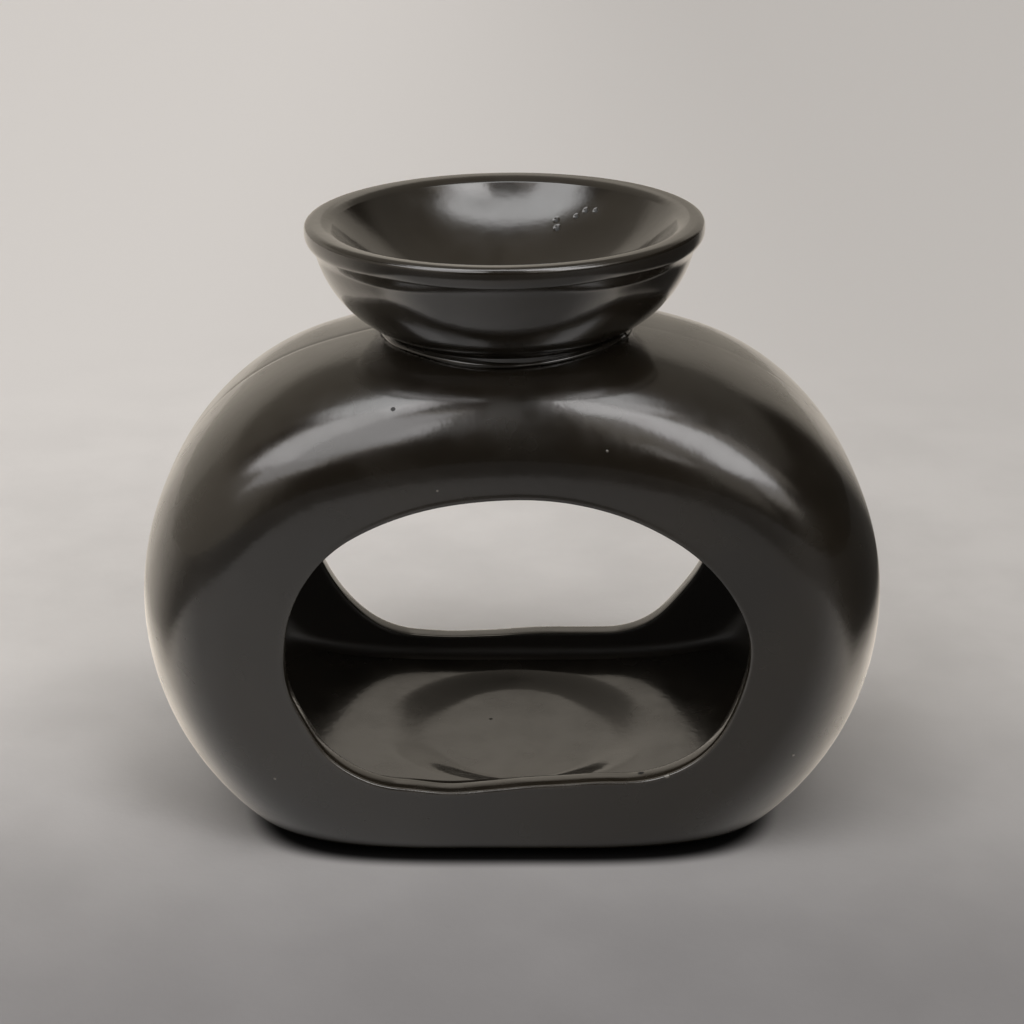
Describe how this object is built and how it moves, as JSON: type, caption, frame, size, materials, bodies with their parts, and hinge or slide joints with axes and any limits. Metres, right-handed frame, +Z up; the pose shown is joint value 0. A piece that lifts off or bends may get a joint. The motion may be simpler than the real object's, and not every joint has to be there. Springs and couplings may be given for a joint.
{
  "type": "essential oil burner",
  "caption": "Dark glazed ceramic oil burner: an oval hollow body with a window in front and at the back, a tealight seat inside and a round oil dish bonded on top.",
  "frame": {"origin": "centre of the round foot's underside, on the surface the burner stands on", "axes": "+Z up, +X across the wide side, the front window faces -Y"},
  "size_m": [0.12, 0.0624, 0.0984],
  "materials": {
    "body_glaze": "satin black-brown glaze",
    "dish_glaze": "satin black-brown glaze",
    "seam_glaze": "glossy pooled glaze"
  },
  "bodies": {
    "root": {"burner_body": "body_glaze", "oil_dish": "dish_glaze", "glaze_seam": "seam_glaze"}
  },
  "joints": []
}
